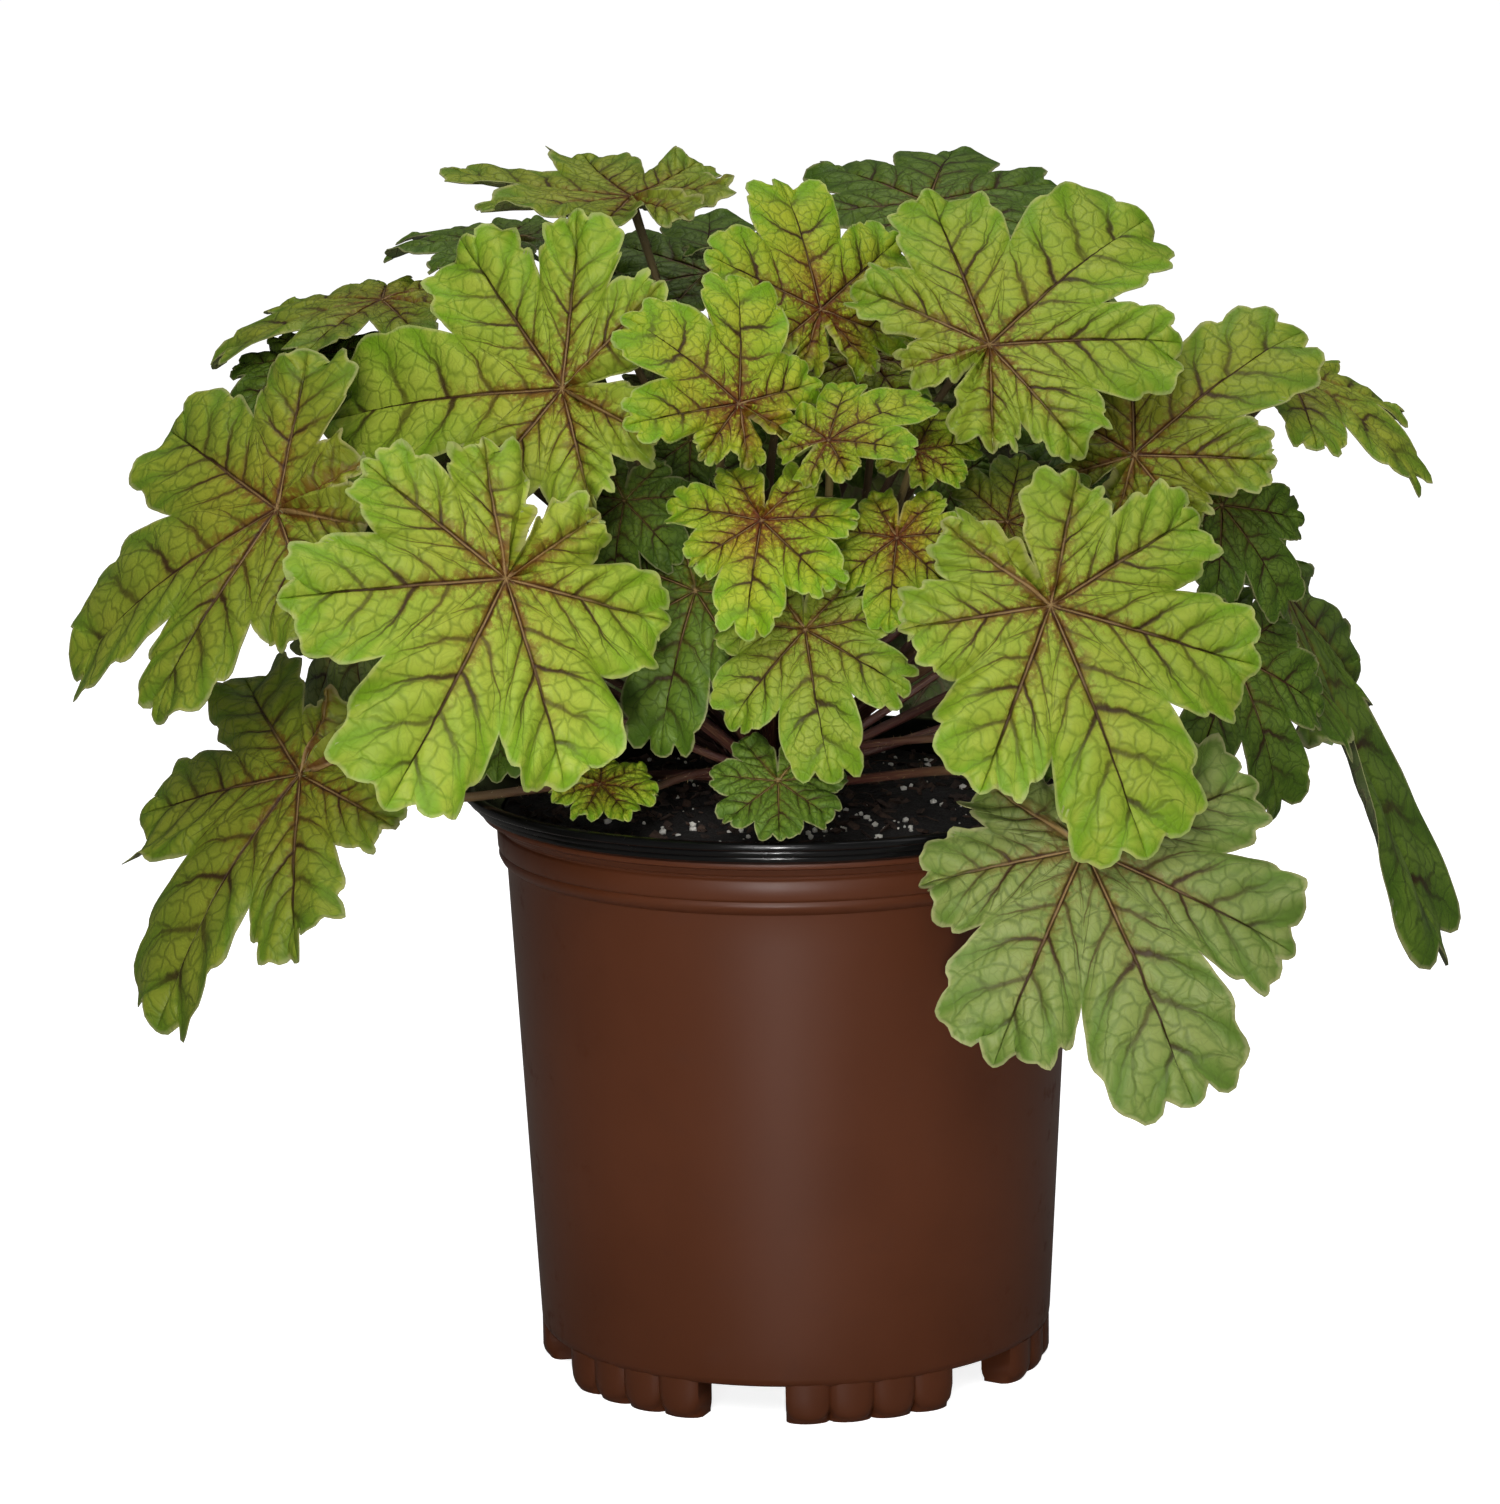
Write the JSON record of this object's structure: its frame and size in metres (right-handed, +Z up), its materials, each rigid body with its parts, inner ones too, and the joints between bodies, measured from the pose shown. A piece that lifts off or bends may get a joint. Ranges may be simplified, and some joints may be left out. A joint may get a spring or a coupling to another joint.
{
  "type": "potted heucherella",
  "caption": "Heucherella plant with lobed, red-veined leaves on slender stalks, growing in a tapered nursery pot with a ribbed rim and fluted feet.",
  "frame": {"origin": "on the ground under the pot's middle, at the centre of the whole part's footprint", "axes": "+Z up along the pot's axis; -Y towards the plant's front, which the picture shows; +X to the right as seen from the front, along the widest spread of leaves"},
  "size_m": [0.3528, 0.2265, 0.3039],
  "materials": {
    "pot_plastic": "satin brown",
    "potting_soil": "matt, granular",
    "crown_wood": "matt, knobbly",
    "leaf_young": "soft sheen, yellow-green with red-brown veins",
    "leaf_fresh": "soft sheen, yellow-green with red-brown veins",
    "leaf_olive": "soft sheen, olive green with brown veins",
    "leaf_grey": "matt grey-green with purple-brown veins",
    "leaf_dark": "matt dark green with brown veins"
  },
  "bodies": {
    "root": {"pot": "pot_plastic", "potting_soil": "potting_soil", "crown": "crown_wood", "leaf_back_left_fill": "leaf_grey", "leaf_back_low_1": "leaf_dark", "leaf_back_low_2": "leaf_dark", "leaf_back_low_3": "leaf_dark", "leaf_back_low_4": "leaf_dark", "leaf_back_mid_1": "leaf_olive", "leaf_back_mid_2": "leaf_olive", "leaf_back_mid_3": "leaf_olive", "leaf_back_mid_4": "leaf_olive", "leaf_back_right_fill": "leaf_grey", "leaf_centre": "leaf_young", "leaf_centre_folded": "leaf_young", "leaf_centre_low": "leaf_fresh", "leaf_centre_right": "leaf_young", "leaf_centre_top": "leaf_young", "leaf_centre_upper": "leaf_young", "leaf_dark_top_left": "leaf_dark", "leaf_dark_top_right": "leaf_dark", "leaf_far_right_hanging": "leaf_dark", "leaf_far_right_rolled": "leaf_olive", "leaf_front_left": "leaf_fresh", "leaf_front_right": "leaf_fresh", "leaf_inner_back": "leaf_dark", "leaf_inner_green": "leaf_young", "leaf_inner_left": "leaf_dark", "leaf_inner_mid_right": "leaf_dark", "leaf_inner_middle": "leaf_dark", "leaf_inner_red": "leaf_olive", "leaf_inner_right": "leaf_dark", "leaf_inner_top": "leaf_young", "leaf_left": "leaf_olive", "leaf_left_back": "leaf_olive", "leaf_left_behind": "leaf_dark", "leaf_left_fill": "leaf_grey", "leaf_left_top_back": "leaf_dark", "leaf_left_under": "leaf_grey", "leaf_lower_left": "leaf_olive", "leaf_lower_right": "leaf_grey", "leaf_middle_left": "leaf_dark", "leaf_right_dark": "leaf_dark", "leaf_right_fill": "leaf_grey", "leaf_right_folded": "leaf_olive", "leaf_right_low": "leaf_dark", "leaf_soil_left": "leaf_dark", "leaf_soil_round": "leaf_dark", "leaf_soil_yellow": "leaf_young", "leaf_top_left": "leaf_olive", "leaf_top_middle": "leaf_dark", "leaf_under_right": "leaf_dark", "leaf_upper_left": "leaf_fresh", "leaf_upper_right": "leaf_fresh"}
  },
  "joints": []
}
